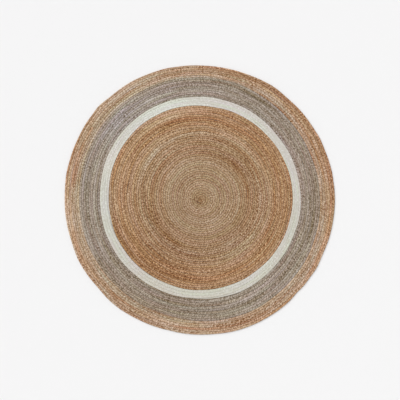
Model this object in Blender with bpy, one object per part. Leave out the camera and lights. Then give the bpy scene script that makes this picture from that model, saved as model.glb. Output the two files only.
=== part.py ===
"""Round jute rug: one plaited braid wound flat from the middle and sewn edge to edge.

The coil is made of four lengths of braid, natural, off-white, grey and natural again. Each length
tapers out in a slanted splice while the next one tapers in beside it, and the last one tapers out
at the rim. Seen from above the coil runs clockwise. The underside is flat and the upper side has
one rounded rib for each round of braid, with a groove along each line of sewing.
"""

import math
from collections import namedtuple

import bmesh
import bpy
import numpy as np
from mathutils import Matrix, Vector

# Heights of the rug, in metres.
RIB_HEIGHT = 0.008
GROOVE_HEIGHT = 0.0055

# Gap that is kept where two lengths of braid meet, in metres.
SPLICE_GAP = 0.0003

# The coil is laid in straight steps. Step 0 ends the round that turns about the middle.
STEPS_PER_ROUND = 48
FIRST_STEP = -STEPS_PER_ROUND
START_ANGLE = math.radians(142.5)

# The folded start of the braid fills this many rounds at once.
EYE_ROUNDS = 0.6

# Across the braid: inner line of sewing, crest and outer line of sewing.
LINES_ACROSS = 3
INNER_LINE = 0
CREST_LINE = 1
OUTER_LINE = 2

# Points closer together than this are sewn into one, in metres.
SEWN_DISTANCE = 0.00002

# How the hand-laid coil departs from true circles, at six of its rounds, in metres.
# rounds: turns of braid inside this line.  radius: mean radius.  shift_x, shift_y: the round's
# centre.  oval_x, oval_y: two-lobed departure.  three_x, three_y: three-lobed departure.
Round = namedtuple("Round", "rounds radius shift_x shift_y oval_x oval_y three_x three_y")
HAND_LAID_ROUNDS = (
    Round(0.00, 0.0000, 0.0010, 0.0040, 0.0000, 0.0000, 0.0000, 0.0000),
    Round(17.00, 0.2050, 0.0130, 0.0160, 0.0005, -0.0010, 0.0005, 0.0000),
    Round(41.94, 0.5055, 0.0002, 0.0196, 0.0005, -0.0053, 0.0017, 0.0017),
    Round(45.69, 0.5538, -0.0048, 0.0130, -0.0023, -0.0022, 0.0026, 0.0002),
    Round(54.79, 0.6659, -0.0063, 0.0075, -0.0025, -0.0065, -0.0001, -0.0026),
    Round(62.17, 0.7566, 0.0002, 0.0051, 0.0001, -0.0024, 0.0004, 0.0013),
)

# Waves that only the outer rounds have.  count: waves in one round.  x, y: sizes of the cosine and
# of the sine wave, in metres.  start, full: rounds where the wave sets in and is at its full size.
Wave = namedtuple("Wave", "count x y start full")
OUTER_WAVES = (
    Wave(4, -0.0015, 0.0012, 45.69, 62.17),
    Wave(5, 0.0012, -0.0002, 41.94, 45.69),
    Wave(6, 0.0007, -0.0005, 54.79, 62.17),
)

# The four lengths of braid, from the middle outwards.
# rounds, steps: where the length ends in the coil.  splice: steps that it takes to taper out.
Length = namedtuple("Length", "name rounds steps splice colour roughness")
LENGTHS = (
    Length("natural_centre_braid", 41, 45, 6, (0.350, 0.228, 0.130), 0.92),
    Length("off_white_ring_braid", 45, 33, 6, (0.604, 0.584, 0.520), 0.90),
    Length("grey_ring_braid", 54, 38, 8, (0.309, 0.250, 0.198), 0.92),
    Length("natural_border_braid", 61, 8, 8, (0.418, 0.279, 0.174), 0.92),
)


def hand_laid(rounds):
    """Read the mean radius and the departures at any distance out, counted in rounds."""
    table = np.array(HAND_LAID_ROUNDS)
    values = [np.interp(rounds, table[:, 0], column) for column in table.T]
    return Round(*values)


def outer_waves(rounds, angle):
    """Give how far the waves of the outer rounds move a point outwards."""
    total = 0.0
    for wave in OUTER_WAVES:
        share = np.interp(rounds, (wave.start, wave.full), (0.0, 1.0))
        total += share * wave.x * math.cos(wave.count * angle)
        total += share * wave.y * math.sin(wave.count * angle)
    return total


def place(rounds, angle, height, gap):
    """Find the point that many rounds out, moved outwards by the gap."""
    line = hand_laid(rounds)
    radius = line.radius + gap + outer_waves(rounds, angle)
    radius += line.oval_x * math.cos(2 * angle) + line.oval_y * math.sin(2 * angle)
    radius += line.three_x * math.cos(3 * angle) + line.three_y * math.sin(3 * angle)
    across = line.shift_x + radius * math.cos(angle)
    along = line.shift_y + radius * math.sin(angle)
    return Vector((across, along, height))


def step_angle(step):
    """Turn a step of the clockwise coil into an angle."""
    return START_ANGLE - 2 * math.pi * step / STEPS_PER_ROUND


def coil_edge(step):
    """Give the coil's outer edge at a step, counted in rounds from the middle."""
    if step < FIRST_STEP:
        return 0.0
    return max(step / STEPS_PER_ROUND + 1, EYE_ROUNDS)


def last_step(length):
    """Count the steps from the start of the coil to the end of a length of braid."""
    return length.rounds * STEPS_PER_ROUND + length.steps


def splice_line(step, length):
    """Give the slanted line, in rounds, at which a length of braid tapers out."""
    inner = coil_edge(step - STEPS_PER_ROUND)
    outer = coil_edge(step)
    share = min((last_step(length) - step) / length.splice, 1)
    return inner + share * (outer - inner)


def edges_at(step, length, previous):
    """Give the inner and the outer edge of a length of braid at a step, in rounds."""
    inner = coil_edge(step - STEPS_PER_ROUND)
    if previous is not None and step < last_step(previous):
        inner = splice_line(step, previous)
    return inner, splice_line(step, length)


def gap_at(step, line, length, previous):
    """Give the move outwards that keeps half the splice gap on each side of a seam."""
    ends = last_step(length)
    on_outer_seam = line == OUTER_LINE and step >= ends - STEPS_PER_ROUND
    if on_outer_seam or step == ends:
        return -SPLICE_GAP / 2
    if previous is None:
        return 0.0
    first = last_step(previous) - previous.splice
    on_inner_seam = line == INNER_LINE and step <= first + STEPS_PER_ROUND
    if on_inner_seam or step == first:
        return SPLICE_GAP / 2
    return 0.0


def point_on_braid(step, line, length, previous):
    """Find one point of a length of braid, on one of its three lines."""
    if step == FIRST_STEP and line == CREST_LINE:
        line = INNER_LINE
    inner, outer = edges_at(step, length, previous)
    across = line / (LINES_ACROSS - 1)
    rounds = inner + across * (outer - inner)
    height = GROOVE_HEIGHT
    if line == CREST_LINE:
        height += (RIB_HEIGHT - GROOVE_HEIGHT) * min(outer - inner, 1)
    return place(rounds, step_angle(step), height, gap_at(step, line, length, previous))


def wind_ribbon(mesh, length, previous):
    """Wind a three-line ribbon along the coil and sew its touching edges together."""
    first = FIRST_STEP
    if previous is not None:
        first = last_step(previous) - previous.splice
    count = last_step(length) - first
    bmesh.ops.create_grid(mesh, x_segments=count, y_segments=LINES_ACROSS - 1, size=0.5)
    for vert in mesh.verts:
        step = first + round((vert.co.x + 0.5) * count)
        line = round((vert.co.y + 0.5) * (LINES_ACROSS - 1))
        vert.co = point_on_braid(step, line, length, previous)
    bmesh.ops.remove_doubles(mesh, verts=mesh.verts, dist=SEWN_DISTANCE)


def close_underside(mesh):
    """Drop the open rims to the floor and close the flat underside."""
    rims = [edge for edge in mesh.edges if edge.is_boundary]
    dropped = bmesh.ops.extrude_edge_only(mesh, edges=rims)["geom"]
    for vert in dropped:
        if isinstance(vert, bmesh.types.BMVert):
            vert.co.z = 0.0
    floor_edges = [edge for edge in dropped if isinstance(edge, bmesh.types.BMEdge) and edge.is_boundary]
    bmesh.ops.triangle_fill(mesh, edges=floor_edges, use_beauty=True, normal=(0.0, 0.0, -1.0))
    bmesh.ops.recalc_face_normals(mesh, faces=mesh.faces)


def jute(length):
    """Make the dull fibre material of a length of braid."""
    material = bpy.data.materials.new(length.name)
    material.use_nodes = True
    shader = material.node_tree.nodes["Principled BSDF"]
    shader.inputs["Base Color"].default_value = (*length.colour, 1.0)
    shader.inputs["Roughness"].default_value = length.roughness
    shader.inputs["Metallic"].default_value = 0.0
    return material


def make_braid(length, previous, collection):
    """Build one length of braid as a closed solid and put it in the rug's collection."""
    mesh = bmesh.new()
    wind_ribbon(mesh, length, previous)
    close_underside(mesh)
    bmesh.ops.triangulate(mesh, faces=mesh.faces)
    data = bpy.data.meshes.new(length.name)
    mesh.to_mesh(data)
    mesh.free()
    data.materials.append(jute(length))
    data.shade_smooth()
    data.set_sharp_from_angle(angle=math.radians(60))
    braid = bpy.data.objects.new(length.name, data)
    collection.objects.link(braid)
    return braid


def centre_on_floor(braids):
    """Move the rug so that its bounding box stands centred over the origin."""
    points = [vert.co for braid in braids for vert in braid.data.vertices]
    middle_x = (min(point.x for point in points) + max(point.x for point in points)) / 2
    middle_y = (min(point.y for point in points) + max(point.y for point in points)) / 2
    for braid in braids:
        braid.data.transform(Matrix.Translation((-middle_x, -middle_y, 0.0)))


def main():
    """Clear the scene and build the rug."""
    for item in list(bpy.data.objects):
        bpy.data.objects.remove(item, do_unlink=True)
    collection = bpy.data.collections.new("round_jute_rug")
    bpy.context.scene.collection.children.link(collection)
    braids = []
    previous = None
    for length in LENGTHS:
        braids.append(make_braid(length, previous, collection))
        previous = length
    centre_on_floor(braids)


main()
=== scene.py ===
"""Looks of the round jute rug: a three-strand plait, wound flat and sewn edge to edge.

The frame holds four flat solids, one for each length of braid: natural in the middle, an off-white
ring, a grey ring and a natural border. Each is replaced here by the plaited braid that it stands
for. Every round of braid is a closed tube with the plait's two rows of lobes on it, laid along the
same hand-laid coil as the solids, and every lobe has the shade of the strand that it belongs to.
"""

import logging
import math
from dataclasses import dataclass, field, fields
from enum import Enum
from typing import NamedTuple, TypeVar

import bpy
import numpy as np
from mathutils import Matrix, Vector

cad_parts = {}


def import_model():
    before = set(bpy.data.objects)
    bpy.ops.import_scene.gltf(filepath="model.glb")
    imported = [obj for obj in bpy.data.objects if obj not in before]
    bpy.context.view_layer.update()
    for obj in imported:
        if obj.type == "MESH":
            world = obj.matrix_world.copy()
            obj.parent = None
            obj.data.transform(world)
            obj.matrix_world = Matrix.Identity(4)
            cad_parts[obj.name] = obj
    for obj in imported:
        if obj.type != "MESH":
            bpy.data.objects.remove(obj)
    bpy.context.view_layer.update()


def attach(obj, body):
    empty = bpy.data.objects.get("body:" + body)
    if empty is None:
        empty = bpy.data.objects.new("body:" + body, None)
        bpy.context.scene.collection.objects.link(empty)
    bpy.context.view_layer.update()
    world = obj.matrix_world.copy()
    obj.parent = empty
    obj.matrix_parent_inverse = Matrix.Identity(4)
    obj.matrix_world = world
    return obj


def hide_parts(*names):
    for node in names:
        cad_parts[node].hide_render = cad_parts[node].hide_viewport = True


LOG = logging.getLogger("rug")
WHOLE_TURN = 2.0 * math.pi
TINY = 1e-9
CORNERS = 4

# The order of a face's corners that turns it over, so that it looks up instead of down.
FACING_UP = (0, 3, 2, 1)

# The shade, warmth or noise that changes nothing.
USUAL = 0.5

Array = np.ndarray
Colour = tuple[float, float, float]
Row = TypeVar("Row")
NodeTree = bpy.types.NodeTree
Socket = bpy.types.NodeSocket
Value = Socket | float | tuple[float, ...]


def table(kind: type[Row], *rows: tuple[float, ...]) -> tuple[Row, ...]:
    """Make the rows of a table, the columns being the fields of their kind."""
    return tuple(kind(*row) for row in rows)


def read_column(rows: tuple[Row, ...], name: str, rounds: Array) -> Array:
    """Read one column of a table at any distance out, in rounds."""
    known = [row.rounds for row in rows]
    return np.interp(rounds, known, [getattr(row, name) for row in rows])


def degrees_past(degrees: Array, middle: float) -> Array:
    """Give how far round each place lies from a middle, from -180 to 180 degrees."""
    return (degrees - middle + 180.0) % 360.0 - 180.0


class Round(NamedTuple):
    """How one round of the coil departs from a true circle, in metres."""

    rounds: float
    radius: float
    shift_x: float
    shift_y: float
    oval_x: float
    oval_y: float
    three_x: float
    three_y: float


class Wave(NamedTuple):
    """Waves that only the outer rounds have, x and y being their cosine and sine, in metres.

    They set in at the start, in rounds from the middle, and have grown to their full size at full.
    """

    count: int
    x: float
    y: float
    start: float
    full: float


class Dent(NamedTuple):
    """A place where the rim bulges out, or in when its size is below 0, in degrees and metres."""

    degrees: float
    span: float
    size: float


class LooseSeam(NamedTuple):
    """A line of sewing that has opened, in rounds from the middle, degrees and metres."""

    rounds: float
    start: float
    end: float
    opening: float


class Unevenness(NamedTuple):
    """The share of the rows' full unevenness at one distance out, in rounds."""

    rounds: float
    share: float


class Ripple(NamedTuple):
    """A wave that goes round the coil so many times, and drifts on by so much in each round."""

    times: float
    drift: float
    phase: float

    def at(self, rounds: Array, angle: Array) -> Array:
        """Give its height, from -1 to 1, at points of the coil."""
        return np.sin(self.times * angle + self.drift * rounds + self.phase)


class YarnLot(NamedTuple):
    """The shade, the warmth and the grain of the yarn at one distance out, in rounds.

    The grain says how far pale and dark yarn differ there, and 1 is as far as usual.
    """

    rounds: float
    shade: float
    warmth: float
    grain: float = 1.0


class Patch(NamedTuple):
    """A stretch of a few rounds where the yarn is darker or paler, or redder or greener.

    rounds and degrees are its middle, reach and span how far it goes each way.
    """

    rounds: float
    degrees: float
    reach: float
    span: float
    shade: float
    warmth: float = 0.0


HAND_LAID_ROUNDS = table(
    Round,
    (0.00, 0.0000, 0.0010, 0.0040, 0.0000, 0.0000, 0.0000, 0.0000),
    (17.00, 0.2050, 0.0130, 0.0160, 0.0005, -0.0010, 0.0005, 0.0000),
    (41.94, 0.5055, 0.0002, 0.0196, 0.0005, -0.0053, 0.0017, 0.0017),
    (45.69, 0.5538, -0.0048, 0.0130, -0.0023, -0.0022, 0.0026, 0.0002),
    (54.79, 0.6659, -0.0063, 0.0075, -0.0025, -0.0065, -0.0001, -0.0026),
    (62.17, 0.7566, 0.0002, 0.0051, 0.0001, -0.0024, 0.0004, 0.0013),
)
OUTER_WAVES = table(
    Wave,
    (4, -0.0015, 0.0012, 45.69, 62.17),
    (5, 0.0012, -0.0002, 41.94, 45.69),
    (6, 0.0007, -0.0005, 54.79, 62.17),
)
DENTS = table(
    Dent,
    (12.0, 2.5, 0.0015),
    (21.0, 3.5, -0.0016),
    (27.5, 3.0, 0.0021),
    (49.0, 4.0, -0.0019),
    (57.0, 3.0, 0.0012),
    (104.5, 3.5, 0.0024),
    (115.0, 4.0, -0.0016),
    (129.5, 4.5, -0.0024),
    (137.8, 3.6, 0.0056),
    (145.5, 3.0, 0.0018),
    (153.0, 5.0, -0.0013),
    (168.5, 3.0, 0.0016),
    (205.0, 4.5, 0.0029),
    (221.0, 5.5, -0.0038),
    (234.5, 7.0, 0.0033),
    (256.5, 3.0, -0.0014),
    (294.0, 6.0, 0.0014),
    (316.3, 3.2, -0.0055),
    (323.5, 3.5, -0.0022),
    (329.8, 3.2, 0.0028),
    (337.5, 3.5, -0.0016),
)
LOOSE_SEAMS = table(LooseSeam, (1.8, 190, 275, 0.0014), (3.0, 312, 352, 0.0010))
SLACK_RIPPLES = table(Ripple, (2, 1.9, 0.3), (5, 3.1, 1.7), (9, 4.3, 4.1), (17, 7.7, 2.2))
WANDER_RIPPLES = table(Ripple, (7, 0.31, 0.0), (11, 0.43, 2.0), (19, 0.57, 4.0))
UNEVEN_RIPPLES = table(Ripple, (3, 2.1, 1.0), (8, 1.4, 3.0), (13, 2.8, 5.0))
UNEVENNESS = table(
    Unevenness,
    (4.0, 0.2),
    (28.0, 0.4),
    (33.0, 1.0),
    (40.0, 1.0),
    (41.9, 0.1),
    (43.8, 0.4),
    (45.7, 0.1),
    (47.5, 1.0),
    (53.0, 1.0),
    (54.8, 0.1),
    (56.5, 0.8),
    (60.0, 0.8),
    (61.5, 0.0),
)
YARN_LOTS = table(
    YarnLot,
    (0.0, 0.26, 0.85, 0.7),
    (2.0, 0.4, 0.56, 0.72),
    (4.5, 0.46, 0.42, 0.74),
    (5.8, 0.56, 0.42, 0.74),
    (7.0, 0.62, 0.4, 0.74),
    (8.2, 0.5, 0.42, 0.74),
    (10.0, 0.47, 0.42, 0.74),
    (12.4, 0.58, 0.38, 0.74),
    (14.5, 0.5, 0.42, 0.76),
    (16.5, 0.56, 0.44, 0.78),
    (17.4, 0.56, 0.47, 0.8),
    (18.3, 0.5, 0.53, 0.82),
    (19.3, 0.44, 0.58, 0.84),
    (21.0, 0.41, 0.62, 0.88),
    (22.2, 0.43, 0.64, 0.9),
    (24.0, 0.38, 0.65, 0.94),
    (25.7, 0.46, 0.63),
    (27.5, 0.43, 0.6),
    (29.5, 0.53, 0.63),
    (31.5, 0.59, 0.68),
    (34.5, 0.47, 0.79),
    (37.5, 0.51, 0.88),
    (39.0, 0.52, 0.86),
    (41.0, 0.52, 0.82),
    (41.9, 0.51, 0.68),
    (42.0, 0.52, 0.9),
    (43.2, 0.48, 0.5),
    (44.8, 0.43, 0.5),
    (45.7, 0.4, 0.8),
    (46.5, 0.37, 0.4),
    (48.0, 0.48, 0.5),
    (50.0, 0.58, 0.5),
    (51.6, 0.3, 0.5),
    (52.7, 0.44, 0.5),
    (53.3, 0.43, 0.5),
    (54.7, 0.46, 0.74),
    (54.9, 0.52, 0.44),
    (56.0, 0.54, 0.43),
    (57.5, 0.49, 0.51),
    (58.5, 0.5, 0.6),
    (60.0, 0.5, 0.76),
    (61.5, 0.5, 0.68),
)
PATCHES = table(
    Patch,
    (1.7, 230, 0.5, 18, -0.65, 0.05),
    (1.8, 258, 0.5, 14, -0.45, 0.05),
    (2.2, 204, 0.5, 12, -0.55, 0.05),
    (3.0, 182, 0.6, 9, -0.5, 0.08),
    (6.0, 35, 3.0, 30, -0.07, -0.05),
    (10.8, 147, 0.6, 14, -0.45, 0.12),
    (11.0, 215, 2.0, 12, -0.12, 0.05),
    (12.5, 45, 3.0, 16, 0.08),
    (12.5, 300, 3.0, 16, 0.13, -0.04),
    (17.2, 50, 0.5, 55, -0.15, 0.05),
    (17.9, 122, 0.7, 26, 0.18, -0.12),
    (19.5, 50, 3.0, 50, -0.11, 0.06),
    (19.5, 170, 3.0, 42, 0.13),
    (20.0, 155, 0.5, 9, -0.18, 0.15),
    (21.2, 8, 0.8, 13, -0.2, 0.3),
    (21.5, 42, 1.0, 14, -0.24, 0.32),
    (23.5, 203, 2.0, 11, -0.23, 0.08),
    (24.7, 238, 1.3, 18, -0.16, 0.2),
    (25.0, 88, 3.0, 16, -0.09, 0.06),
    (25.0, 255, 4.0, 70, 0.0, -0.12),
    (27.0, 135, 9.0, 32, 0.11, -0.07),
    (27.0, 278, 0.5, 14, 0.15, -0.07),
    (27.0, 305, 6.0, 14, 0.04, -0.16),
    (28.1, 200, 0.4, 30, 0.22, -0.05),
    (28.9, 208, 0.4, 20, -0.18, 0.09),
    (29.3, 143, 1.0, 22, 0.19, -0.28),
    (30.0, 235, 9.5, 38, -0.12, 0.06),
    (30.4, 343, 0.6, 20, -0.23, 0.11),
    (31.5, 30, 4.0, 16, -0.11, 0.07),
    (31.5, 217, 4.0, 22, 0.12),
    (34.5, 245, 0.8, 11, -0.22, 0.11),
    (35.6, 82, 1.4, 28, -0.07, 0.33),
    (35.8, 158, 1.2, 9, 0.19, -0.09),
    (38.0, 48, 3.0, 18, 0.07, 0.03),
    (38.0, 345, 3.0, 16, -0.08, 0.03),
    (38.2, 243, 2.4, 26, -0.16, 0.12),
    (38.3, 310, 2.5, 12, 0.13, -0.05),
    (38.5, 185, 1.0, 7, 0.22, -0.09),
    (38.5, 104, 2.4, 17, 0.15, 0.02),
    (39.5, 112, 1.6, 32, 0.2, -0.07),
    # These five rows make the off-white ring paler towards the upper left and darker towards the bottom
    # and the right.
    (43.8, 112, 3.0, 18, 0.3, -0.4),
    (43.8, 155, 3.0, 12, 0.16, 0.5),
    (43.8, 186, 3.0, 10, 0.08, -0.6),
    (43.8, 248, 3.0, 45, -0.24),
    (43.8, 345, 3.0, 16, -0.2),
    (46.5, 42, 0.6, 14, -0.18),
    (46.5, 82, 0.6, 9, 0.13),
    (46.5, 322, 0.6, 38, -0.18),
    (48.0, 14, 2.5, 11, -0.14, 0.3),
    (48.0, 148, 2.5, 12, 0.1, -0.2),
    (48.5, 258, 1.5, 22, -0.12, 0.1),
    (48.8, 315, 1.5, 18, -0.09, 0.05),
    (49.0, 343, 0.7, 18, -0.13, 0.17),
    (49.2, 112, 1.4, 30, 0.17, -0.16),
    (50.5, 40, 0.8, 12, -0.14, 0.1),
    (50.0, 135, 3.5, 11, 0.04, -0.36),
    (50.5, 308, 0.7, 18, 0.14, -0.1),
    (52.2, 145, 1.8, 22, 0.33, -0.15),
    (52.3, 14, 2.2, 14, -0.15, 0.15),
    (52.3, 188, 2.0, 8, 0.11),
    (52.3, 232, 2.5, 22, -0.11, 0.35),
    (53.1, 343, 0.4, 15, -0.24, 0.19),
    (53.2, 60, 0.6, 10, -0.28, 0.12),
    (54.5, 198, 0.7, 18, 0.18, -0.17),
    (54.6, 43, 0.6, 14, -0.15),
    (54.6, 120, 0.6, 12, -0.12),
    (54.8, 328, 0.6, 12, 0.12),
    (55.2, 28, 0.5, 30, -0.16, -0.35),
    (55.4, 345, 0.5, 12, 0.14, -0.3),
    (55.4, 160, 0.7, 24, -0.16, 0.1),
    (55.4, 250, 0.6, 6, -0.34, 0.33),
    (56.6, 178, 0.6, 26, 0.18, -0.04),
    (56.6, 256, 0.6, 10, 0.13, -0.12),
    (56.7, 2, 2.0, 11, -0.2, 0.2),
    (56.7, 240, 2.0, 12, -0.11, -0.11),
    (56.7, 318, 2.0, 20, 0.08, -0.29),
    (56.7, 338, 1.6, 7, 0.14),
    (56.9, 79, 1.5, 9, -0.18, 0.13),
    (57.3, 282, 2.0, 9, -0.2),
    # These rows make the outermost rounds darker and warmer towards the right, from about 345 to 70
    # degrees, and paler and cooler towards the left.
    (59.3, 32, 1.7, 24, -0.26, 0.5),
    (59.3, 130, 1.8, 20, 0.35, -0.2),
    (59.5, 69, 1.4, 11, -0.3, 0.44),
    (59.5, 188, 1.4, 20, 0.27, -0.2),
    (60.3, 7, 1.6, 10, -0.3, 0.22),
    (60.0, 228, 1.6, 14, 0.1, -0.42),
    (60.3, 345, 1.7, 16, -0.17, 0.45),
)


@dataclass(frozen=True)
class Coil:
    """The path of the braid: a clockwise coil that hands have laid a little out of true.

    Lengths are in metres. The rim's dents grow over the rounds of dented. The braid wanders by up
    to wander for each ripple, fully so from settled rounds on, and uneven_rows is the same for the
    widths of the rows. The sewing is slack by up to slack where its ripples rise above tight, and
    a loose seam opens the rounds within seam_reach of it, with ends as blunt as seam_ends is low.
    What lies up to same_seam inside a line of sewing, in rounds, belongs to that line.
    """

    steps_per_round: int = 48
    start_angle: float = math.radians(142.5)
    eye_rounds: float = 0.6
    pitch: float = 0.0121
    hand_laid: tuple[Round, ...] = HAND_LAID_ROUNDS
    outer_waves: tuple[Wave, ...] = OUTER_WAVES
    dents: tuple[Dent, ...] = DENTS
    dented: tuple[float, float] = (57.0, 61.5)
    wander: float = 0.0005
    wander_ripples: tuple[Ripple, ...] = WANDER_RIPPLES
    settled: float = 4.0
    uneven_rows: float = 0.0012
    uneven_ripples: tuple[Ripple, ...] = UNEVEN_RIPPLES
    unevenness: tuple[Unevenness, ...] = UNEVENNESS
    slack: float = 0.0007
    slack_ripples: tuple[Ripple, ...] = SLACK_RIPPLES
    tight: float = 0.35
    same_seam: float = 0.25
    loose_seams: tuple[LooseSeam, ...] = LOOSE_SEAMS
    seam_reach: float = 0.9
    seam_ends: float = 0.6

    def edge(self, turns: Array) -> Array:
        """Give the rounds from the middle to the coil's outer edge, by turns of its full rounds."""
        edge = np.maximum(turns + 1.0, self.eye_rounds)
        return np.where(turns < -1.0 - TINY, 0.0, edge)

    def angle(self, turns: Array) -> Array:
        """Turn a distance along the clockwise coil into an angle."""
        return self.start_angle - WHOLE_TURN * turns

    def opening(self, rounds: Array, angle: Array) -> Array:
        """Give how far each line of sewing stands open.

        Args:
            rounds: Rounds from the middle to the line of sewing.
            angle: Angle about the middle.

        Returns:
            Half of the opening, in metres.
        """
        slack = np.zeros_like(rounds)
        for ripple in self.slack_ripples:
            slack += ripple.at(np.floor(rounds + self.same_seam), angle)
        half = self.slack / 2.0 * np.clip(slack / 2.0 - self.tight, 0.0, 1.0)
        degrees = np.degrees(angle) % 360.0
        for seam in self.loose_seams:
            along = np.clip((degrees - seam.start) / (seam.end - seam.start), 0.0, 1.0)
            nearness = np.clip(1.0 - np.abs(rounds - seam.rounds) / self.seam_reach, 0.0, 1.0)
            half = half + seam.opening / 2.0 * nearness * np.sin(math.pi * along) ** self.seam_ends
        return half

    def place(self, rounds: Array, angle: Array) -> Array:
        """Find points on the floor plan of the coil.

        Args:
            rounds: Rounds from the middle to each point.
            angle: Angle of each point about the middle.

        Returns:
            An array of x and y, in metres, with the two in its last axis.
        """
        radius = read_column(self.hand_laid, "radius", rounds)
        for lobes, name in ((2, "oval"), (3, "three")):
            radius = radius + read_column(self.hand_laid, name + "_x", rounds) * np.cos(lobes * angle)
            radius = radius + read_column(self.hand_laid, name + "_y", rounds) * np.sin(lobes * angle)
        for wave in self.outer_waves:
            share = np.interp(rounds, (wave.start, wave.full), (0.0, 1.0))
            radius = radius + share * wave.x * np.cos(wave.count * angle)
            radius = radius + share * wave.y * np.sin(wave.count * angle)
        share = np.interp(rounds, self.dented, (0.0, 1.0))
        for dent in self.dents:
            around = degrees_past(np.degrees(angle), dent.degrees)
            radius = radius + share * dent.size * np.exp(-((around / dent.span) ** 2))
        share = np.clip(rounds / self.settled, 0.0, 1.0)
        for ripple in self.wander_ripples:
            radius = radius + share * self.wander * ripple.at(rounds, angle)
        share = read_column(self.unevenness, "share", rounds)
        for ripple in self.uneven_ripples:
            radius = radius + share * self.uneven_rows * ripple.at(rounds, angle)
        across = read_column(self.hand_laid, "shift_x", rounds) + radius * np.cos(angle)
        along = read_column(self.hand_laid, "shift_y", rounds) + radius * np.sin(angle)
        return np.stack((across, along), axis=-1)


class Line(NamedTuple):
    """One line along the braid, from its inner edge (-1) to its outer edge (1).

    groove is the line's height between two lobes and crown its height on a lobe, in metres.
    bulge is how much further out the line stands on a lobe than between two lobes.
    """

    across: float
    groove: float
    crown: float
    bulge: float


@dataclass(frozen=True)
class Plait:
    """The shape of the three-strand plait, in metres.

    The lobes lean towards the middle of the braid like the strokes of a V, and those on the two
    sides stand half a lobe apart. Their lengths swell and shrink over the two uneven_beats, and
    their heights differ by uneven_height times a draw between lowest_lobe and highest_lobe. Where
    the braid tapers out, its height keeps the root of least_height. wrap is how far round the
    underside its lines and the closing edge lie from the last upper line.
    """

    lobe: float = 0.0112
    steps_per_lobe: int = 4
    lean: float = 0.0066
    overlap: float = 1.02
    uneven_length: float = 0.0016
    uneven_beats: tuple[float, float] = (0.083, 0.047)
    uneven_height: float = 0.15
    lowest_lobe: float = -1.2
    highest_lobe: float = 0.8
    least_height: float = 0.25
    strands: int = 3
    upper: tuple[Line, ...] = (
        Line(-1.00, 0.0042, 0.0044, 0.10),
        Line(-0.78, 0.0052, 0.0068, 0.06),
        Line(-0.42, 0.0054, 0.0080, 0.00),
        Line(0.00, 0.0060, 0.0070, 0.00),
        Line(0.42, 0.0054, 0.0080, 0.00),
        Line(0.78, 0.0052, 0.0068, 0.06),
        Line(1.00, 0.0042, 0.0044, 0.10),
    )
    under: tuple[Line, ...] = (
        Line(0.60, 0.0010, 0.0000, 0.00),
        Line(-0.60, 0.0010, 0.0000, 0.00),
    )
    wrap: tuple[float, ...] = (0.0042, 0.0115, 0.0157)

    @property
    def step(self) -> float:
        """Give the length of one step along the braid."""
        return self.lobe / self.steps_per_lobe


@dataclass(frozen=True, kw_only=True)
class HeatherAndPaintedShade:
    """How much of the way from the dark yarn to the pale yarn each kind of unevenness, and each painted
    light and shade, takes.
    """

    lobe: float
    strand: float
    braid: float
    lot: float = 0.60
    # crown is painted light and shade: the lobes' crowns paler, the grooves between lobes darker.
    crown: float
    ply: float = 0.50
    fibre: float = 0.15
    # seam is painted shade along each line of sewing between rounds.
    seam: float = 0.0
    # pit is painted shade in the pits between lobes at the braid's edges.
    pit: float = 0.0


# The inputs of the heathered yarn with its painted light and shade, and the field of a finish or of its
# heather_and_painted_shade that each one takes.
COLOUR_INPUTS = {
    "Dark Yarn": "dark",
    "Middle Yarn": "middle",
    "Pale Yarn": "pale",
    "Cool Tint": "cool",
    "Warm Tint": "warm",
}
WEIGHT_INPUTS = {part.name.title() + " Weight": part.name for part in fields(HeatherAndPaintedShade)}

# What the fibres pass on to the heathered yarn: the ply and fibre noise, and the seam mask that places
# painted shade along each line of sewing.
FIBRE_MASKS = ("Ply", "Fibre", "Seam")


@dataclass(frozen=True)
class JuteFinish:
    """The finish of one kind of jute yarn."""

    name: str
    slot: str
    dark: Colour
    middle: Colour
    pale: Colour
    cool: Colour
    warm: Colour
    heather_and_painted_shade: HeatherAndPaintedShade
    hue_spread: float
    rough_low: float = 0.78
    rough_high: float = 0.96
    sheen: float = 0.10
    sheen_rough: float = 0.6
    shine: float = 0.25
    yarn_depth: float = 0.0010
    yarn_relief: float = 0.6

    def material(self, groups: "YarnGroups") -> bpy.types.Material:
        """Build the yarn's material.

        Args:
            groups: The node groups that every yarn shares.

        Returns:
            The finished material.
        """
        material = bpy.data.materials.new(self.name)
        material.use_nodes = True
        tree = material.node_tree
        shader = tree.nodes["Principled BSDF"]
        fibres = tree.nodes.new("ShaderNodeGroup")
        fibres.node_tree = groups.fibres
        fibres.location = (-1000, -100)
        fibres.inputs["Roughest"].default_value = self.rough_high
        fibres.inputs["Smoothest"].default_value = self.rough_low
        yarn = tree.nodes.new("ShaderNodeGroup")
        yarn.node_tree = groups.heathered
        yarn.location = (-650, 200)
        for title, part in COLOUR_INPUTS.items():
            yarn.inputs[title].default_value = (*getattr(self, part), 1.0)
        for title, part in WEIGHT_INPUTS.items():
            yarn.inputs[title].default_value = getattr(self.heather_and_painted_shade, part)
        bump = tree.nodes.new("ShaderNodeBump")
        bump.inputs["Strength"].default_value = self.yarn_relief
        bump.inputs["Distance"].default_value = self.yarn_depth
        bump.location = (-350, -250)
        for title in FIBRE_MASKS:
            tree.links.new(fibres.outputs[title], yarn.inputs[title])
        tree.links.new(yarn.outputs["Colour"], shader.inputs["Base Color"])
        tree.links.new(fibres.outputs["Roughness"], shader.inputs["Roughness"])
        tree.links.new(fibres.outputs["Relief"], bump.inputs["Height"])
        tree.links.new(bump.outputs["Normal"], shader.inputs["Normal"])
        shader.inputs["Sheen Weight"].default_value = self.sheen
        shader.inputs["Sheen Roughness"].default_value = self.sheen_rough
        shader.inputs["Specular IOR Level"].default_value = self.shine
        return material


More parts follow.
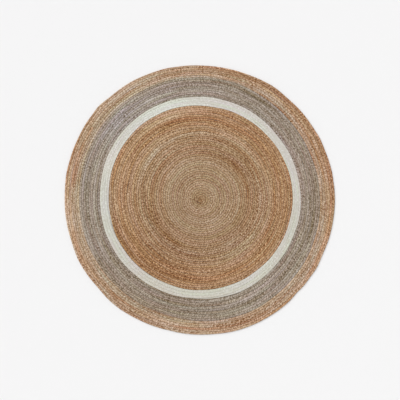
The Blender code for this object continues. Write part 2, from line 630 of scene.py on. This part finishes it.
class Yarn(Enum):
    """The four yarns of the rug."""

    CENTRE = JuteFinish(
        name="natural_jute_yarn",
        slot="natural_jute",
        dark=(0.152, 0.052, 0.006),
        middle=(0.400, 0.252, 0.141),
        pale=(0.680, 0.500, 0.355),
        cool=(0.95, 1.12, 1.25),
        warm=(1.05, 0.885, 0.70),
        heather_and_painted_shade=HeatherAndPaintedShade(lobe=0.13, strand=0.30, braid=0.18, crown=0.30, seam=0.22, pit=0.30),
        hue_spread=0.25,
    )
    OFF_WHITE = JuteFinish(
        name="bleached_jute_yarn",
        slot="bleached_jute",
        dark=(0.500, 0.460, 0.375),
        middle=(0.608, 0.587, 0.531),
        pale=(0.810, 0.797, 0.757),
        cool=(0.98, 1.01, 1.01),
        warm=(1.02, 0.99, 0.98),
        heather_and_painted_shade=HeatherAndPaintedShade(lobe=0.18, strand=0.10, braid=0.10, crown=0.05, ply=0.30, fibre=0.10),
        hue_spread=0.30,
    )
    GREY = JuteFinish(
        name="grey_dyed_jute_yarn",
        slot="grey_jute",
        dark=(0.130, 0.085, 0.040),
        middle=(0.355, 0.283, 0.220),
        pale=(0.560, 0.477, 0.405),
        cool=(0.95, 1.02, 1.14),
        warm=(1.05, 0.98, 0.86),
        heather_and_painted_shade=HeatherAndPaintedShade(lobe=0.14, strand=0.28, braid=0.30, crown=0.25, pit=0.15),
        hue_spread=0.30,
    )
    BORDER = JuteFinish(
        name="pale_natural_jute_yarn",
        slot="border_jute",
        dark=(0.200, 0.085, 0.020),
        middle=(0.457, 0.305, 0.190),
        pale=(0.740, 0.560, 0.420),
        cool=(0.95, 1.10, 1.20),
        warm=(1.05, 0.90, 0.78),
        heather_and_painted_shade=HeatherAndPaintedShade(lobe=0.13, strand=0.30, braid=0.28, crown=0.25, seam=0.02, pit=0.25),
        hue_spread=0.58,
    )


class GroupMaker:
    """The making of one shader node group, with its named inputs and outputs."""

    noise_contrast: float = 2.5
    noise_distortion: float = 0.4

    def __init__(self, name: str, inputs: dict[str, str], outputs: dict[str, str]) -> None:
        """Start the group.

        Args:
            name: The group's name.
            inputs: The kind of each named input, Float or Color.
            outputs: The kind of each named output.
        """
        self.tree = bpy.data.node_groups.new(name, "ShaderNodeTree")
        for side, sockets in (("INPUT", inputs), ("OUTPUT", outputs)):
            for title, kind in sockets.items():
                self.tree.interface.new_socket(title, in_out=side, socket_type="NodeSocket" + kind)
        self.entry = self.tree.nodes.new("NodeGroupInput").outputs
        self.leave = self.tree.nodes.new("NodeGroupOutput").inputs

    def feed(self, entrance: Socket, value: Value) -> None:
        """Link a socket to an entrance, or set a plain value there.

        Args:
            entrance: The input to feed.
            value: A socket, a number or a colour.
        """
        if isinstance(value, Socket):
            self.tree.links.new(value, entrance)
        else:
            entrance.default_value = value

    def maths(self, operation: str, *values: Value, clamp: bool = False) -> Socket:
        """Add a Math node.

        Args:
            operation: The node's operation.
            values: A socket or a number for each input.
            clamp: Whether the result is kept from 0 to 1.

        Returns:
            The node's output.
        """
        node = self.tree.nodes.new("ShaderNodeMath")
        node.operation = operation
        node.use_clamp = clamp
        for entrance, value in zip(node.inputs, values):
            self.feed(entrance, value)
        return node.outputs[0]

    def blend(self, kind: str, factor: Value, first: Value, second: Value) -> Socket:
        """Add a colour Mix node.

        Args:
            kind: The blend type.
            factor: A socket or a number.
            first: A socket or a colour.
            second: A socket or a colour.

        Returns:
            The node's colour output.
        """
        node = self.tree.nodes.new("ShaderNodeMix")
        node.data_type = "RGBA"
        node.blend_type = kind
        for title, value in (("Factor", factor), ("A", first), ("B", second)):
            self.feed(next(s for s in node.inputs if s.name == title and s.enabled), value)
        return next(s for s in node.outputs if s.name == "Result" and s.enabled)

    def split(self, value: Socket) -> bpy.types.NodeOutputs:
        """Split a vector into its X, Y and Z.

        Args:
            value: The vector.

        Returns:
            The outputs that hold the three numbers.
        """
        node = self.tree.nodes.new("ShaderNodeSeparateXYZ")
        self.feed(node.inputs[0], value)
        return node.outputs

    def attribute(self, name: str) -> bpy.types.NodeOutputs:
        """Read a named attribute of the braid as three numbers.

        Args:
            name: The attribute's name.

        Returns:
            The outputs that hold the three numbers.
        """
        read = self.tree.nodes.new("ShaderNodeAttribute")
        read.attribute_name = name
        return self.split(read.outputs["Vector"])

    def add_share(self, total: Value, value: Socket, weight: Socket) -> Socket:
        """Add one kind of unevenness or of painted light and shade to a tone, which stays as it is
        where that is usual.
        """
        change = self.maths("SUBTRACT", value, USUAL)
        return self.maths("MULTIPLY_ADD", change, weight, total)

    def noise(self, place: Socket, per_metre: tuple[float, float], detail: float) -> Socket:
        """Add a noise stretched along the yarn.

        Args:
            place: The place on the braid, in metres along it and across it.
            per_metre: How many marks there are in a metre, along and across the braid.
            detail: How many times finer marks are added.

        Returns:
            The noise, usual on average.
        """
        stretch = self.tree.nodes.new("ShaderNodeVectorMath")
        stretch.operation = "MULTIPLY"
        stretch.inputs[1].default_value = (*per_metre, 1.0)
        self.feed(stretch.inputs[0], place)
        noise = self.tree.nodes.new("ShaderNodeTexNoise")
        noise.noise_dimensions = "2D"
        noise.inputs["Scale"].default_value = 1.0
        noise.inputs["Detail"].default_value = detail
        noise.inputs["Distortion"].default_value = self.noise_distortion
        self.feed(noise.inputs["Vector"], stretch.outputs[0])
        centred = self.maths("SUBTRACT", noise.outputs["Fac"], USUAL)
        return self.maths("MULTIPLY_ADD", centred, self.noise_contrast, USUAL, clamp=True)

    def finish(self, **results: Socket) -> NodeTree:
        """Link the results to the group's outputs.

        Args:
            results: The socket that leaves by the output of each name.

        Returns:
            The finished group.
        """
        for title, value in results.items():
            self.feed(self.leave[title], value)
        return self.tree


class YarnGroups:
    """The node groups that the four yarns share: heathered colour with painted light and shade, and
    fibres with the mask beside their seams.
    """

    plies_per_metre: tuple[float, float] = (120.0, 60.0)
    fibres_per_metre: tuple[float, float] = (2600.0, 260.0)
    fibre_detail: float = 2.0
    fibre_relief: float = 0.35
    # Where the mask for the painted shade along each line of sewing starts, and over how much it grows
    # to full, in metres across the braid.
    seam_start: float = 0.0046
    seam_width: float = 0.0020
    green_tinge: tuple[float, ...] = (0.984, 1.026, 0.969, 1.0)
    pink_tinge: tuple[float, ...] = (1.016, 0.974, 1.031, 1.0)

    def __init__(self) -> None:
        """Build both groups once."""
        self.heathered = self.build_heathered_with_painted_shade()
        self.fibres = self.build_fibres()

    def build_heathered_with_painted_shade(self) -> NodeTree:
        """Build the colour of a plait whose lobes, strands and lots differ, with painted light on the
        lobes' crowns and painted shade in the grooves between lobes, in the pits at the braid's edges
        and along each line of sewing.

        Returns:
            The node group.
        """
        inputs = dict.fromkeys(COLOUR_INPUTS, "Color")
        inputs |= dict.fromkeys((*FIBRE_MASKS, *WEIGHT_INPUTS), "Float")
        group = GroupMaker("heathered_yarn", inputs, {"Colour": "Color"})
        entry = group.entry
        lobe = group.attribute("lobe")
        lot = group.attribute("lot")
        mixed = group.attribute("mixed")
        tone = group.add_share(0.0, lobe["X"], entry["Lobe Weight"])
        tone = group.add_share(tone, lobe["Y"], entry["Strand Weight"])
        crown = group.maths("MULTIPLY", lot["Z"], 1.0 / USUAL)
        tone = group.maths("MULTIPLY", tone, crown)
        tone = group.add_share(tone, entry["Ply"], entry["Ply Weight"])
        tone = group.add_share(tone, entry["Fibre"], entry["Fibre Weight"])
        tone = group.maths("MULTIPLY_ADD", tone, mixed["X"], USUAL)
        streaks = group.maths("MULTIPLY", entry["Braid Weight"], mixed["Z"])
        tone = group.add_share(tone, lobe["Z"], streaks)
        tone = group.add_share(tone, lot["X"], entry["Lot Weight"])
        # Painted light and shade: paler on the lobes' crowns, darker in the grooves between lobes.
        tone = group.add_share(tone, lot["Z"], entry["Crown Weight"])
        # Painted shade in the pits between lobes near the braid's edges.
        hollow = group.maths("SUBTRACT", lot["Z"], 1.0)
        pit = group.maths("MULTIPLY", entry["Seam"], hollow)
        tone = group.maths("MULTIPLY_ADD", pit, entry["Pit Weight"], tone)
        # Painted shade along each line of sewing between rounds.
        seam = group.maths("MULTIPLY", entry["Seam"], entry["Seam Weight"])
        tone = group.maths("SUBTRACT", tone, seam)
        lower = group.maths("MULTIPLY", tone, 2.0, clamp=True)
        upper = group.maths("MULTIPLY_ADD", tone, 2.0, -1.0, clamp=True)
        shade = group.blend("MIX", lower, entry["Dark Yarn"], entry["Middle Yarn"])
        shade = group.blend("MIX", upper, shade, entry["Pale Yarn"])
        tint = group.blend("MIX", lot["Y"], entry["Cool Tint"], entry["Warm Tint"])
        colour = group.blend("MULTIPLY", 1.0, shade, tint)
        tinge = group.blend("MIX", mixed["Y"], self.green_tinge, self.pink_tinge)
        return group.finish(Colour=group.blend("MULTIPLY", 1.0, colour, tinge))

    def build_fibres(self) -> NodeTree:
        """Build the fibres along each lobe, and the mask beside each line of sewing where the colour
        paints shade.

        Returns:
            The node group.
        """
        inputs = dict.fromkeys(("Roughest", "Smoothest"), "Float")
        outputs = dict.fromkeys((*FIBRE_MASKS, "Roughness", "Relief"), "Float")
        group = GroupMaker("jute_fibres", inputs, outputs)
        entry = group.entry
        weave = group.tree.nodes.new("ShaderNodeUVMap")
        weave.uv_map = "plait"
        place = weave.outputs["UV"]
        ply = group.noise(place, self.plies_per_metre, 0.0)
        hair = group.noise(place, self.fibres_per_metre, self.fibre_detail)
        across = group.maths("ABSOLUTE", group.split(place)["Y"])
        past = group.maths("SUBTRACT", across, self.seam_start)
        seam = group.maths("DIVIDE", past, self.seam_width, clamp=True)
        spread = group.maths("SUBTRACT", entry["Roughest"], entry["Smoothest"])
        rough = group.maths("MULTIPLY_ADD", hair, spread, entry["Smoothest"])
        relief = group.maths("MULTIPLY_ADD", hair, self.fibre_relief, ply)
        return group.finish(Ply=ply, Fibre=hair, Seam=seam, Roughness=rough, Relief=relief)


@dataclass(frozen=True)
class YarnShades:
    """How the shade of the yarn changes over the rug.

    The spacings, in metres, are those of its changes along a strand and along the braid. Streaks
    along the braid fade out streak_fade times as fast as the grain gets finer.
    """

    seed: int = 11
    seeds_per_length: int = 10
    strand_spacing: tuple[float, ...] = (0.9, 0.25)
    braid_spacing: tuple[float, ...] = (0.40, 0.15, 0.06)
    hue_spacing: tuple[float, ...] = (0.90, 0.30)
    tinge_spacing: tuple[float, ...] = (0.30, 0.10)
    streak_fade: float = 2.5
    lots: tuple[YarnLot, ...] = YARN_LOTS
    patches: tuple[Patch, ...] = PATCHES

    def drift(self, along: Array, spacing: tuple[float, ...], seed: int) -> Array:
        """Give a soft, unsteady change along the yarn.

        Args:
            along: Distance along the yarn, in metres.
            spacing: How far apart the changes lie, in metres, the widest first.
            seed: The number that the changes are drawn from.

        Returns:
            Values from 0 to 1, usual on average.
        """
        total = np.zeros(along.shape)
        for order, step in enumerate(spacing):
            random = np.random.default_rng((self.seed, seed, order))
            knots = random.random(int(along.max() / step) + 3)
            place = along / step
            first = np.floor(place).astype(int)
            share = place - first
            share = share * share * (3.0 - 2.0 * share)
            total += knots[first] + (knots[first + 1] - knots[first]) * share
        middle = total / len(spacing) - USUAL
        return np.clip(USUAL + middle * math.sqrt(len(spacing)), 0.0, 1.0)

    def lot_at(self, rounds: Array, degrees: Array) -> Array:
        """Read shade and warmth of the yarn lots, with the soft patches laid over them.

        Args:
            rounds: Rounds from the middle.
            degrees: Angle about the middle.

        Returns:
            Shade and warmth, from 0 to 1, in the last axis.
        """
        shade = read_column(self.lots, "shade", rounds)
        warmth = read_column(self.lots, "warmth", rounds)
        for patch in self.patches:
            around = degrees_past(degrees, patch.degrees)
            away = np.hypot((rounds - patch.rounds) / patch.reach, around / patch.span)
            soft = np.exp(-(away**2))
            shade = shade + patch.shade * soft
            warmth = warmth + patch.warmth * soft
        return np.clip(np.stack((shade, warmth), axis=-1), 0.0, 1.0)


@dataclass(frozen=True)
class BraidLength:
    """One length of braid, from the end of the length before it to its own end.

    rounds and steps say where it ends in the coil, splice over how many steps it tapers out,
    and pieces into how many meshes it is parted. fullness is the share of the hollow between two
    rounds that its thick, even yarn fills up.
    """

    name: str
    node: str
    yarn: Yarn
    rounds: int
    steps: int
    splice: int
    pieces: int
    fullness: float

    def end(self, coil: Coil) -> float:
        """Give the turn at which the length has tapered out."""
        return self.rounds + self.steps / coil.steps_per_round

    def splice_turns(self, coil: Coil) -> float:
        """Give the turns over which the length tapers out."""
        return self.splice / coil.steps_per_round


class LaidBraid(NamedTuple):
    """A stretch of braid as it lies: rows are steps along it, columns the lines around it.

    number says which length of braid it belongs to.
    """

    number: int
    steps: Array
    points: Array
    rounds: Array
    angle: Array
    top: Array


def write_attribute(mesh: bpy.types.Mesh, name: str, domain: str, values: Array) -> None:
    """Write an attribute of three numbers, the values' last axis, for each FACE or POINT."""
    layer = mesh.attributes.new(name, "FLOAT_VECTOR", domain)
    layer.data.foreach_set("vector", values.astype(np.float32).ravel())


def ring_faces(rings: int, sides: int) -> tuple[Array, Array, Array]:
    """Lay four-cornered faces between rings of points.

    Args:
        rings: How many rings there are.
        sides: How many points each ring has.

    Returns:
        Each face's place along the rings, its place around them, and a row of corners for each.
    """
    i, j = np.meshgrid(np.arange(rings - 1), np.arange(sides), indexing="ij")
    near, far, after = i * sides, (i + 1) * sides, (j + 1) % sides
    corners = np.stack((near + j, near + after, far + after, far + j), axis=-1)
    return i, j, corners.reshape(-1, CORNERS)


def add_piece(name: str, points: Array, faces: list[list[int]]) -> bpy.types.Object:
    """Add a smooth mesh to the scene.

    Args:
        name: The name of the piece.
        points: Its points, with x, y and z in the last axis.
        faces: The points of each face.

    Returns:
        The piece.
    """
    mesh = bpy.data.meshes.new(name)
    mesh.from_pydata(points.reshape(-1, 3), [], faces)
    mesh.polygons.foreach_set("use_smooth", np.ones(len(faces), dtype=bool))
    mesh.update()
    piece = bpy.data.objects.new(name, mesh)
    bpy.context.scene.collection.objects.link(piece)
    return piece


@dataclass
class Rug:
    """The whole rug: it lays each length of braid along the coil and dresses it.

    A spliced end keeps least_width of the braid's width, and no point lies nearer to the middle
    than least_rounds. The braid's own map starts anew with every strip, moved on by strip_shift
    and back again past strip_range, in metres.
    """

    coil: Coil
    plait: Plait
    shades: YarnShades
    lengths: tuple[BraidLength, ...]
    samples_per_round: int = 720
    least_width: float = 0.10
    least_rounds: float = 0.02
    eye_radius: float = 0.02
    bake_margin: float = 0.06
    strip_lobes: int = 64
    strip_shift: float = 0.37
    strip_range: float = 5.0
    lobe_draws: int = 8192
    lobe_stride: int = 7919
    turns: Array = field(init=False)
    distance: Array = field(init=False)
    centre: Array = field(init=False)
    groups: YarnGroups = field(init=False)

    def __post_init__(self) -> None:
        """Measure the coil and find the middle of its outline."""
        last = self.lengths[-1].end(self.coil)
        count = int((last + 1.0) * self.samples_per_round) + 1
        self.turns = np.linspace(-1.0, last, count)
        middle = (self.coil.edge(self.turns - 1.0) + self.coil.edge(self.turns)) / 2.0
        path = self.coil.place(middle, self.coil.angle(self.turns))
        gaps = np.hypot(*np.diff(path, axis=0).T)
        self.distance = np.concatenate(([0.0], np.cumsum(gaps)))
        self.centre = self.outline_centre(last)
        self.groups = YarnGroups()

    def outline_centre(self, last: float) -> Array:
        """Find the middle of the box around the coil's last round.

        Args:
            last: The turn at which the braid ends.

        Returns:
            The x and y that have to move to the origin.
        """
        steps = np.arange(self.coil.steps_per_round + 1) / self.coil.steps_per_round
        turns = last - 1.0 + steps
        edge = self.edges(turns, len(self.lengths) - 1)[1]
        outline = self.coil.place(edge, self.coil.angle(turns))
        return (outline.max(axis=0) + outline.min(axis=0)) / 2.0

    def edges(self, turns: Array, number: int) -> tuple[Array, Array]:
        """Give the inner and outer edge of one length of braid.

        Args:
            turns: Turns along the coil.
            number: Which length it is.

        Returns:
            Rounds from the middle to the inner and to the outer edge.
        """
        inner = self.coil.edge(turns - 1.0)
        outer = self.coil.edge(turns)
        width = outer - inner
        length = self.lengths[number]
        left = (length.end(self.coil) - turns) / length.splice_turns(self.coil)
        top = inner + np.clip(left, self.least_width, 1.0) * width
        if number == 0:
            return inner, top
        before = self.lengths[number - 1]
        gone = (before.end(self.coil) - turns) / before.splice_turns(self.coil)
        return inner + np.clip(gone, 0.0, 1.0 - self.least_width) * width, top

    def span(self, number: int) -> tuple[float, float]:
        """Give where a length of braid starts and ends, in metres along the coil.

        Args:
            number: Which length it is.

        Returns:
            The two distances along the coil.
        """
        start = -1.0
        if number > 0:
            before = self.lengths[number - 1]
            start = before.end(self.coil) - before.splice_turns(self.coil)
        ends = (start, self.lengths[number].end(self.coil))
        first, last = np.interp(ends, self.turns, self.distance)
        return float(first), float(last)

    def lay(self, first: int, last: int, number: int) -> LaidBraid:
        """Place the points of a stretch of braid.

        Args:
            first: Its first step along the coil.
            last: Its last step along the coil.
            number: Which length of braid it belongs to.

        Returns:
            The stretch of braid.
        """
        plait = self.plait
        upper = len(plait.upper)
        across, groove, crown, bulge = np.array(plait.upper + plait.under).T
        full = crown[:upper].max() * self.lengths[number].fullness
        groove[:upper] = np.maximum(groove[:upper], full)
        crown = np.maximum(crown, groove)
        forward = plait.lean * (1.0 - np.abs(across))
        forward[upper:] = 0.0
        steps = np.arange(first, last + 1)
        beat = WHOLE_TURN * steps[:, None] * plait.step
        slow, quick = plait.uneven_beats
        uneven = plait.uneven_length * (np.sin(beat / slow) + np.sin(beat / quick + 1.0)) / 2.0
        along = steps[:, None] * plait.step + uneven + forward
        turns = np.interp(along, self.distance, self.turns)
        phase = steps[:, None] / plait.steps_per_lobe + np.where(across > 0.0, 0.5, 0.0)
        ramp = 2.0 * (phase % 1.0) - 1.0
        rise = np.sqrt(np.maximum(1.0 - ramp**2, 0.0))
        rise[:, upper // 2] = np.where(steps % (plait.steps_per_lobe // 2) == 0, 1.0, 0.0)
        lift = self.lobe_lift(np.floor(phase).astype(int), across > 0.0)
        inner, outer = self.edges(turns, number)
        angle = self.coil.angle(turns)
        inner = inner + self.coil.opening(inner, angle) / self.coil.pitch
        outer = outer - self.coil.opening(outer, angle) / self.coil.pitch
        half = (outer - inner) / 2.0
        scallop = 1.0 - bulge * (1.0 - rise)
        rounds = (outer + inner) / 2.0 + across * half * scallop * plait.overlap
        plan = self.coil.place(np.maximum(rounds, self.least_rounds), angle) - self.centre
        height = groove + (crown - groove) * rise * (1.0 + lift)
        height = height * np.sqrt(np.clip(2.0 * half, plait.least_height, 1.0))
        points = np.concatenate((plan, height[..., None]), axis=-1)
        return LaidBraid(number, steps, points, rounds, angle, 1.0 - np.abs(ramp))

    def lobe_lift(self, lobe: Array, outer_side: Array) -> Array:
        """Give each lobe its own height.

        Args:
            lobe: The number of the lobe under each point.
            outer_side: Whether each line is on the braid's outer side.

        Returns:
            The share by which each lobe's dome is higher than usual.
        """
        plait = self.plait
        draws = np.random.default_rng((self.shades.seed, 2)).random(self.lobe_draws)
        key = (2 * lobe + outer_side) * self.lobe_stride % self.lobe_draws
        reach = plait.highest_lobe - plait.lowest_lobe
        return plait.uneven_height * (reach * draws[key] + plait.lowest_lobe)

    def make_piece(self, name: str, laid: LaidBraid) -> bpy.types.Object:
        """Build one closed stretch of plaited braid.

        Args:
            name: The piece's name.
            laid: The stretch of braid.

        Returns:
            The piece, linked to the scene.
        """
        count, ring = laid.points.shape[:2]
        i, j, faces = ring_faces(count, ring)
        ends = [list(range(ring))[::-1], list(range((count - 1) * ring, count * ring))]
        piece = add_piece(name, laid.points, faces.tolist() + ends)
        self.write_maps(piece.data, i, j)
        self.write_shades(piece.data, laid, i, j)
        return piece

    def write_maps(self, mesh: bpy.types.Mesh, i: Array, j: Array) -> None:
        """Write the braid's own map in metres, and the map that its picture is baked through.

        Args:
            mesh: The mesh to write to.
            i: Each face's place along the piece.
            j: Each face's place around the braid.
        """
        plait = self.plait
        upper = [line.across * self.coil.pitch / 2.0 for line in plait.upper]
        around = np.array(upper + [upper[-1] + reach for reach in plait.wrap])
        corner_i = np.stack((i, i, i + 1, i + 1), axis=-1).reshape(-1)
        corner_j = np.stack((j, j + 1, j + 1, j), axis=-1).reshape(-1)
        strip_steps = self.strip_lobes * plait.steps_per_lobe
        strip = np.repeat((i // strip_steps).reshape(-1), CORNERS)
        along = (corner_i - strip * strip_steps) * plait.step
        own = np.stack((along + strip * self.strip_shift % self.strip_range, around[corner_j]), axis=-1)
        total = around[-1] - around[0]
        rows = max(1, round(math.sqrt(len(i) * plait.step / total)))
        per_row = math.ceil(len(i) / rows)
        row = np.repeat((i // per_row).reshape(-1), CORNERS)
        u = (corner_i - row * per_row) / per_row
        inside = (around[corner_j] - around[0]) / total
        v = (row + self.bake_margin + (1.0 - 2.0 * self.bake_margin) * inside) / rows
        for title, values in (("OFBake", np.stack((u, v), axis=-1)), ("plait", own)):
            layer = mesh.uv_layers.new(name=title)
            filled = np.zeros((len(mesh.loops), 2))
            filled[: len(values)] = values
            filled[len(values) :] = values[0]
            layer.data.foreach_set("uv", filled.astype(np.float32).ravel())
        mesh.uv_layers["OFBake"].active_render = True

    def write_shades(self, mesh: bpy.types.Mesh, laid: LaidBraid, i: Array, j: Array) -> None:
        """Write the shade of every lobe, strand and yarn lot, and how near each point lies to a lobe's
        crown, which places the painted light and shade.

        Args:
            mesh: The mesh to write to.
            laid: The stretch of braid that the mesh shows.
            i: Each face's place along the piece.
            j: Each face's place around the braid.
        """
        plait = self.plait
        shades = self.shades
        seed = shades.seeds_per_length * laid.number
        run = (laid.steps - laid.steps[0]) * plait.step
        strands = [shades.drift(run, shades.strand_spacing, seed + k) for k in range(plait.strands)]
        paler = shades.drift(run, shades.braid_spacing, seed + plait.strands)
        redder = shades.drift(run, shades.hue_spacing, seed + plait.strands + 1)
        tinge = shades.drift(run, shades.tinge_spacing, seed + plait.strands + 2)
        outer_side = (j >= len(plait.upper) // 2) & (j < len(plait.upper))
        place = laid.steps[i] + np.where(outer_side, plait.steps_per_lobe // 2, 0)
        lobe = 2 * (place // plait.steps_per_lobe) - np.where(outer_side, 1, 0)
        draws = np.random.default_rng((shades.seed, 1)).random(self.lobe_draws)
        own = draws[lobe * self.lobe_stride % self.lobe_draws]
        tones = np.stack((own, np.array(strands)[lobe % plait.strands, i], paler[i]), axis=-1)
        faces = np.full((len(mesh.polygons), 3), USUAL)
        faces[: tones[..., 0].size] = tones.reshape(-1, 3)
        write_attribute(mesh, "lobe", "FACE", faces)
        grain = read_column(shades.lots, "grain", laid.rounds)
        streaks = np.clip(1.0 - shades.streak_fade * (1.0 - grain), 0.0, 1.0)
        spread = self.lengths[laid.number].yarn.value.hue_spread
        lot = shades.lot_at(laid.rounds, np.degrees(laid.angle))
        lot[..., 1] += streaks * (spread * (redder - paler))[:, None]
        # The third number of lot is how near each point lies to a lobe's crown, for the painted light
        # on crowns and the painted shade in grooves and pits.
        write_attribute(mesh, "lot", "POINT", np.concatenate((lot, laid.top[..., None]), axis=-1))
        mixed = np.stack((grain, np.broadcast_to(tinge[:, None], grain.shape), streaks), axis=-1)
        write_attribute(mesh, "mixed", "POINT", mixed)

    def build(self) -> None:
        """Build and dress every length of braid, attach each piece and hide the solid that it stands
        for.
        """
        for number, length in enumerate(self.lengths):
            start, end = self.span(number)
            marks = np.linspace(start, end, length.pieces + 1) / self.plait.step
            ends = np.round(marks).astype(int).tolist()
            material = length.yarn.value.material(self.groups)
            for part in range(length.pieces):
                name = length.name if length.pieces == 1 else f"{length.name}_{part + 1}"
                piece = self.make_piece(name, self.lay(ends[part], ends[part + 1], number))
                piece.data.materials.append(material)
                self.declare(piece, length)
                LOG.info("%s: %d faces", name, len(piece.data.polygons))

    def declare(self, piece: bpy.types.Object, length: BraidLength) -> None:
        """Attach the piece to the root body, and hide the solid of the frame that it stands for.

        Args:
            piece: The finished piece.
            length: The length of braid that it belongs to.
        """
        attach(piece, "root")
        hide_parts(length.node)


@dataclass(frozen=True)
class Studio:
    """The pale floor that curves up into a backdrop, the soft light and the camera above the rug."""

    lens: float = 85.0
    sensor: float = 36.0
    picture_width: float = 2.216
    rug_top: float = 0.007
    aim_x: float = -0.0002
    aim_y: float = 0.0020
    view_depth: float = 100.0
    floor_radius: float = 11.0
    floor_gap: float = 0.0003
    floor_colour: Colour = (0.847, 0.845, 0.847)
    floor_roughness: float = 0.9
    floor_shine: float = 0.1
    backdrop_rise: float = 4.0
    backdrop_rings: int = 12
    backdrop_sides: int = 96
    sky: float = 0.546
    lamp_power: float = 2.2
    lamp_softness: float = math.radians(60.0)
    lamp_place: tuple[float, float, float] = (-2.2, 2.2, 3.6)

    def make_floor(self) -> None:
        """Lay the pale floor just under the rug, and curve it up far away."""
        slope = np.linspace(0.0, WHOLE_TURN / 4.0, self.backdrop_rings)
        reach = self.floor_radius + self.backdrop_rise * np.sin(slope)
        rise = self.backdrop_rise * (1.0 - np.cos(slope)) - self.floor_gap
        around = WHOLE_TURN * np.arange(self.backdrop_sides) / self.backdrop_sides
        across = reach[:, None] * np.cos(around)
        along = reach[:, None] * np.sin(around)
        height = np.broadcast_to(rise[:, None], across.shape)
        faces = ring_faces(*across.shape)[2][:, FACING_UP].tolist()
        middle = list(range(self.backdrop_sides))
        floor = add_piece("studio_floor", np.stack((across, along, height), axis=-1), [middle, *faces])
        material = bpy.data.materials.new("pale_floor")
        material.use_nodes = True
        shader = material.node_tree.nodes["Principled BSDF"]
        shader.inputs["Base Color"].default_value = (*self.floor_colour, 1.0)
        shader.inputs["Roughness"].default_value = self.floor_roughness
        shader.inputs["Specular IOR Level"].default_value = self.floor_shine
        floor.data.materials.append(material)

    def make_light(self) -> None:
        """Fill the room with even light, and add a broad soft lamp from one side."""
        world = bpy.data.worlds.new("studio_room")
        world.use_nodes = True
        background = world.node_tree.nodes["Background"]
        background.inputs["Color"].default_value = (1.0, 1.0, 1.0, 1.0)
        background.inputs["Strength"].default_value = self.sky
        bpy.context.scene.world = world
        data = bpy.data.lights.new("soft_lamp", "SUN")
        data.energy = self.lamp_power
        data.angle = self.lamp_softness
        lamp = bpy.data.objects.new("soft_lamp", data)
        lamp.location = self.lamp_place
        lamp.rotation_euler = (-Vector(self.lamp_place)).to_track_quat("-Z", "Y").to_euler()
        bpy.context.scene.collection.objects.link(lamp)

    def make_camera(self, centre: Array) -> None:
        """Set the camera straight above the rug, with the top of the picture towards +Y.

        Args:
            centre: Where the coil's own middle lies from the rug's, in metres.
        """
        data = bpy.data.cameras.new("view_from_above")
        data.lens = self.lens
        data.sensor_width = self.sensor
        data.clip_end = self.view_depth
        camera = bpy.data.objects.new("view_from_above", data)
        height = self.rug_top + self.picture_width * self.lens / self.sensor
        camera.location = (self.aim_x - centre[0], self.aim_y - centre[1], height)
        bpy.context.scene.collection.objects.link(camera)
        bpy.context.scene.camera = camera
        bpy.context.scene.view_settings.view_transform = "Standard"


LENGTHS = (
    BraidLength("centre_braid", "natural_centre_braid", Yarn.CENTRE, 41, 45, 6, 3, 0.0),
    BraidLength("off_white_braid", "off_white_ring_braid", Yarn.OFF_WHITE, 45, 33, 6, 1, 0.93),
    BraidLength("grey_braid", "grey_ring_braid", Yarn.GREY, 54, 38, 8, 2, 0.0),
    BraidLength("border_braid", "natural_border_braid", Yarn.BORDER, 61, 8, 8, 2, 0.0),
)


def main() -> None:
    """Build the rug, its floor, lights and camera."""
    logging.basicConfig(level=logging.INFO, format="%(message)s")
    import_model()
    rug = Rug(Coil(), Plait(), YarnShades(), LENGTHS)
    rug.build()
    studio = Studio()
    studio.make_floor()
    studio.make_light()
    studio.make_camera(rug.centre)


if __name__ == "__main__":
    main()
